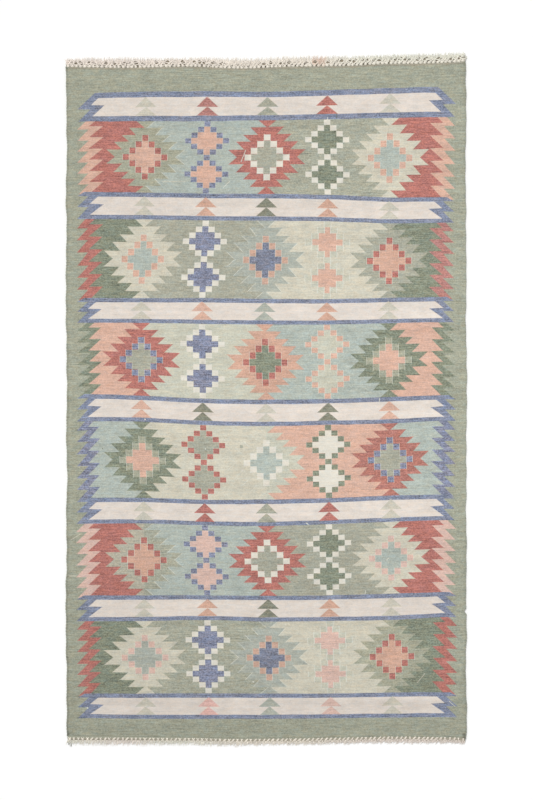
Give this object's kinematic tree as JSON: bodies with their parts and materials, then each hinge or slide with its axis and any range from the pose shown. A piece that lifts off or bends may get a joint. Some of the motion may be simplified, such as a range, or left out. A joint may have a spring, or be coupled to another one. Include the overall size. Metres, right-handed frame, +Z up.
{
  "type": "dhurrie rug",
  "caption": "Flat-woven rectangular rug with stepped-diamond and arrow bands between pale stripes, and short knotted warp fringes at both ends.",
  "frame": {"origin": "on the floor under the middle of the whole rug, fringes included", "axes": "+Z up from the floor, +Y along the rug's length towards the end with the longer tails, +X across it"},
  "size_m": [1.2238, 2.1132, 0.006],
  "materials": {
    "woven_field": "weft-faced flat weave in matt dyed yarn, soft faded colours",
    "warp_fringe": "undyed cotton warp, knotted, matt"
  },
  "bodies": {
    "root": {"cloth": "woven_field", "fringe_top": "warp_fringe", "fringe_bottom": "warp_fringe"}
  },
  "joints": []
}
